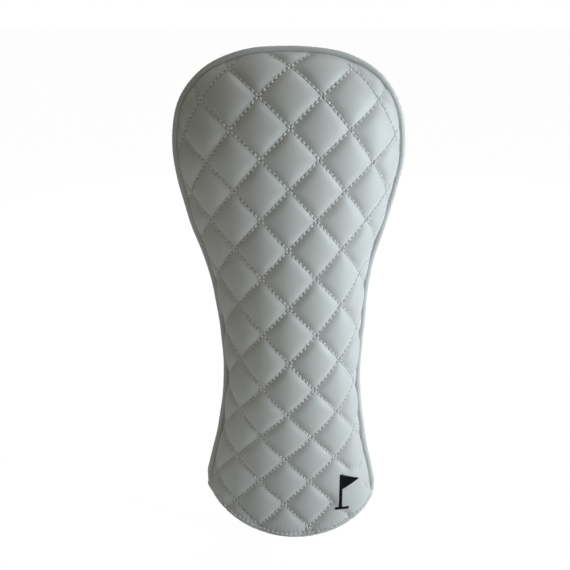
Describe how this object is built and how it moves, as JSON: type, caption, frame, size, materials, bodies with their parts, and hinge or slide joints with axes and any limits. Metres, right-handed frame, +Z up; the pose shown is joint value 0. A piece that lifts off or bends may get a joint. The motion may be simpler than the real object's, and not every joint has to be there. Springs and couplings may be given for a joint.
{
  "type": "driver head cover",
  "caption": "Padded quilted leather sock for a golf driver: round head, narrow elastic waist, flared skirt with a curved hem, and piping round the side seam.",
  "frame": {"origin": "top of the inside, at the innermost point of the crown's lining, where the tip of the club head rests", "axes": "+Z up along the club's shaft towards the crown, front wall faces -Y, side seam in the plane y = 0, +X to the right seen from the front"},
  "size_m": [0.16, 0.0785, 0.364],
  "materials": {
    "leather": "smooth white coated leather with a soft sheen",
    "piping_leather": "smooth white coated leather, pulled tight over the cord",
    "cotton_cord": "twisted cotton",
    "wadding": "soft foam wadding",
    "backing_cloth": "thin woven cloth",
    "plush": "short dense pile",
    "elastic": "woven elastic band",
    "thread": "white polyester sewing thread",
    "embroidery": "black satin-stitch embroidery"
  },
  "bodies": {
    "root": {"back_backing": "backing_cloth", "back_hem_facing": "leather", "back_hem_thread": "thread", "back_leather": "leather", "back_lining": "plush", "back_quilting_thread": "thread", "back_wadding": "wadding", "elastic_casing": "backing_cloth", "flag_emblem": "embroidery", "front_backing": "backing_cloth", "front_hem_facing": "leather", "front_hem_thread": "thread", "front_leather": "leather", "front_lining": "plush", "front_quilting_thread": "thread", "front_wadding": "wadding", "piping_cord": "cotton_cord", "piping_cover": "piping_leather", "waist_elastic": "elastic", "waist_thread": "thread"}
  },
  "joints": []
}
